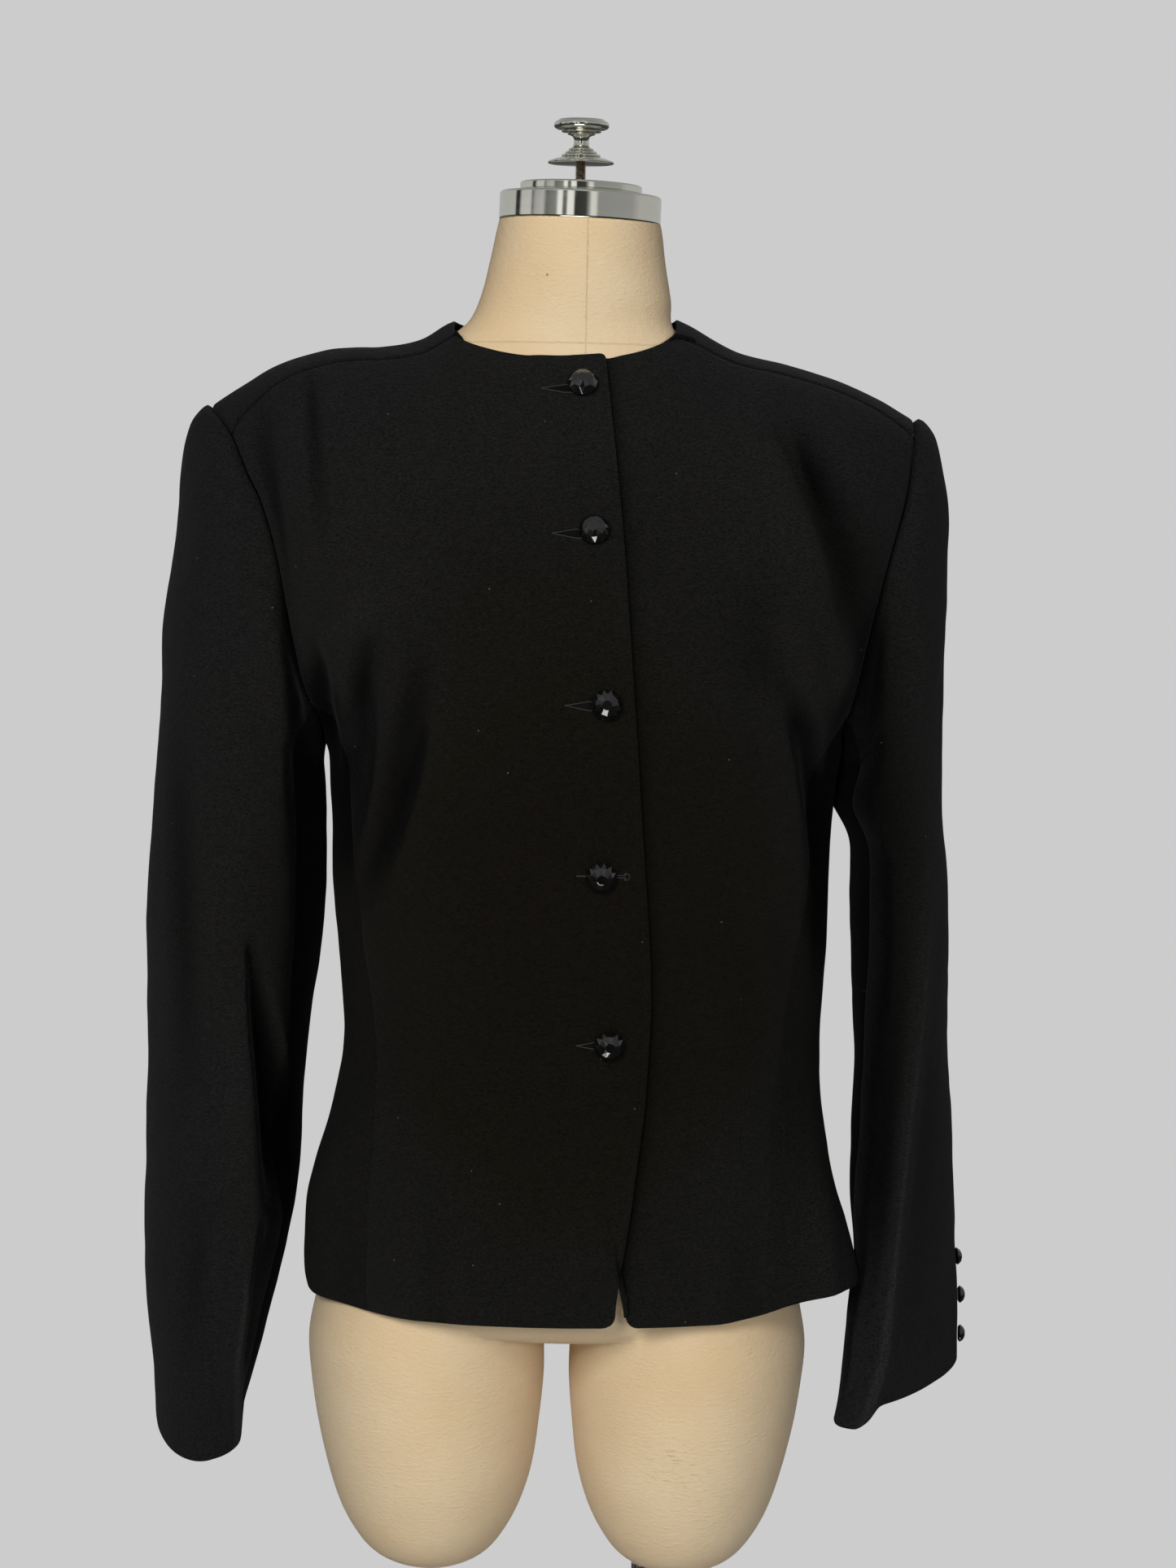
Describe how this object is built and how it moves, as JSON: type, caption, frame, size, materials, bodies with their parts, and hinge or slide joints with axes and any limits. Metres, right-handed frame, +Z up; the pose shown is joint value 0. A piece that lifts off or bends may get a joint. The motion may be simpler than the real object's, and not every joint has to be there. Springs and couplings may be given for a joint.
{
  "type": "collarless blazer on a dress form",
  "caption": "Long-sleeved collarless blazer with a front lap and faceted buttons, worn by a limbless dress form on a pole with a round base plate.",
  "frame": {"origin": "on the floor under the middle of the form's neck, at the centre of the base plate's flat underside", "axes": "+Z up; the blazer faces -Y; +X towards the wearer's left, which is the right of a front view"},
  "size_m": [0.5322, 0.36, 1.4836],
  "materials": {
    "wool": "matt black wool crepe",
    "button": "polished black glass, faceted",
    "jersey": "cream cotton jersey stretched over the form",
    "chrome": "polished"
  },
  "bodies": {
    "root": {"back": "wool", "front_right": "wool", "front_left": "wool", "side_right": "wool", "side_left": "wool", "sleeve_upper_right": "wool", "sleeve_under_right": "wool", "sleeve_upper_left": "wool", "sleeve_under_left": "wool", "button_1": "button", "button_2": "button", "button_3": "button", "button_4": "button", "button_5": "button", "cuff_button_right_1": "button", "cuff_button_right_2": "button", "cuff_button_right_3": "button", "cuff_button_left_1": "button", "cuff_button_left_2": "button", "cuff_button_left_3": "button", "dress_form": "jersey", "neck_cap": "chrome", "neck_screw": "chrome", "pole": "chrome", "pole_collar": "chrome", "base_plate": "chrome"}
  },
  "joints": []
}
